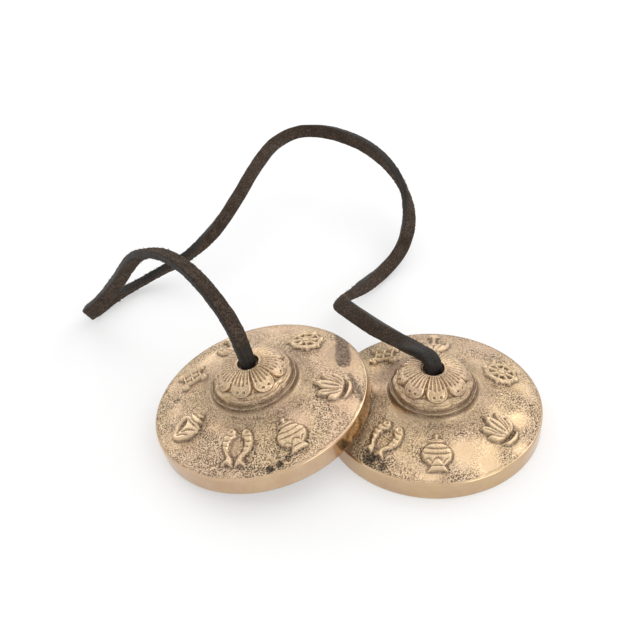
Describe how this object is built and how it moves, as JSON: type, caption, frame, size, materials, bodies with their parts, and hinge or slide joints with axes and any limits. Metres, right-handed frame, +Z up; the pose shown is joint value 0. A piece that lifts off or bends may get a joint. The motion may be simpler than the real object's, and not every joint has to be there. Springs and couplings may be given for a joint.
{
  "type": "tingsha hand cymbals",
  "caption": "Small cast bronze hand cymbals with lotus bosses, tied to the ends of a leather thong and struck rim to rim.",
  "frame": {"origin": "on the table, under the middle of the two cymbals as they lie: the right one flat, the left one leaning on it", "axes": "+X from the left cymbal to the right one, +Y to the back where the thong lies, +Z up"},
  "size_m": [0.1449, 0.1731, 0.051],
  "materials": {
    "cast_bronze": "cast bell bronze, turned and polished rim, sandy cast brim with darkened recesses",
    "leather": "dark brown thong leather, smooth on one face and suede on the other"
  },
  "bodies": {
    "strap": {"strap": "leather"},
    "knot_left": {"knot_left": "leather"},
    "knot_right": {"knot_right": "leather"},
    "cymbal_left": {"cymbal_left": "cast_bronze"},
    "cymbal_right": {"cymbal_right": "cast_bronze"}
  },
  "joints": [
    {"name": "left_swing", "type": "hinge", "parent": "strap", "child": "knot_left", "pos_m": [-0.02886, 0.00072, 0.0283], "axis": [0, -1, 0], "range_deg": [0, 40]},
    {"name": "left_spin", "type": "hinge", "parent": "knot_left", "child": "cymbal_left", "pos_m": [-0.02886, 0.00072, 0.0283], "axis": [-0.1761, 0, 0.9844], "continuous": true},
    {"name": "right_swing", "type": "hinge", "parent": "strap", "child": "knot_right", "pos_m": [0.02529, -0.00072, 0.023], "axis": [0, -1, 0], "range_deg": [0, 40]},
    {"name": "right_spin", "type": "hinge", "parent": "knot_right", "child": "cymbal_right", "pos_m": [0.02529, -0.00072, 0.023], "axis": [0, 0, 1], "continuous": true}
  ]
}
